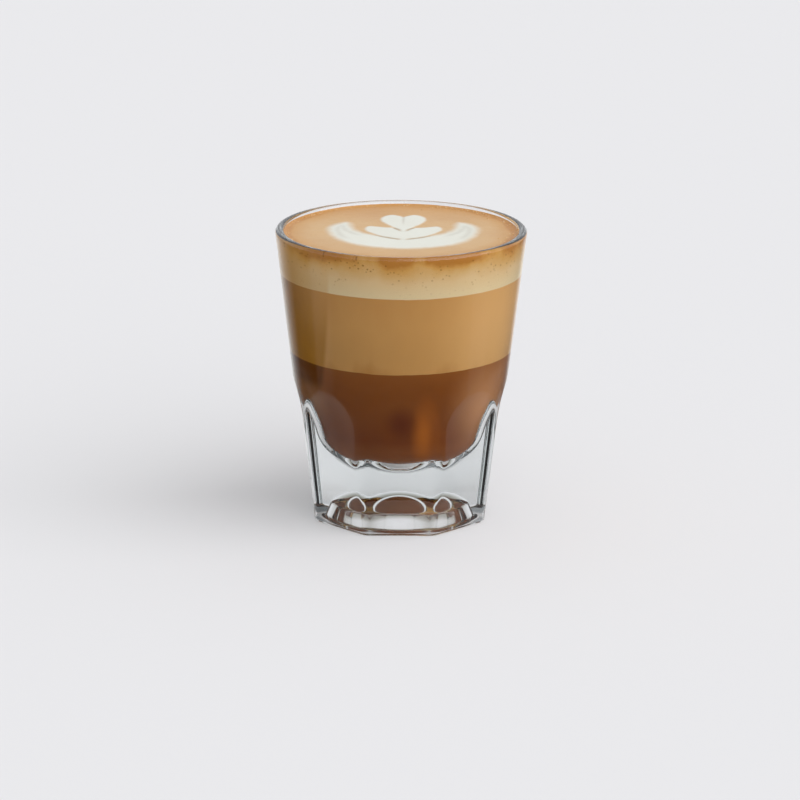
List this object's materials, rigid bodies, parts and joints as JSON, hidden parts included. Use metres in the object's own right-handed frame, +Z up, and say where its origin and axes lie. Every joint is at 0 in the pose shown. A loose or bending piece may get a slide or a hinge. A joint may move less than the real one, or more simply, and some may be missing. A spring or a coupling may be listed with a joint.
{
  "type": "cortado in a glass",
  "caption": "Layered espresso and milk drink with a poured foam pattern, filling a small thick-based tumbler with arched flat panels.",
  "frame": {"origin": "centre of the foot, on the plane that the glass stands on", "axes": "+Z up along the glass's axis; one flat panel faces -Y, the side that the poured pattern is seen from; +X is to that viewer's right"},
  "size_m": [0.0698, 0.0698, 0.082],
  "materials": {
    "glass": "clear fire-polished pressed glass",
    "espresso": "wet, opaque",
    "milk_coffee": "wet, opaque",
    "milk_foam": "fine foam, pale at the bottom",
    "crema": "fine foam with small bubbles, slightly wet",
    "white_foam": "satin microfoam"
  },
  "bodies": {
    "root": {"glass": "glass", "espresso": "espresso", "milk_coffee": "milk_coffee", "foam": "milk_foam", "crema": "crema", "foam_art": "white_foam"}
  },
  "joints": []
}
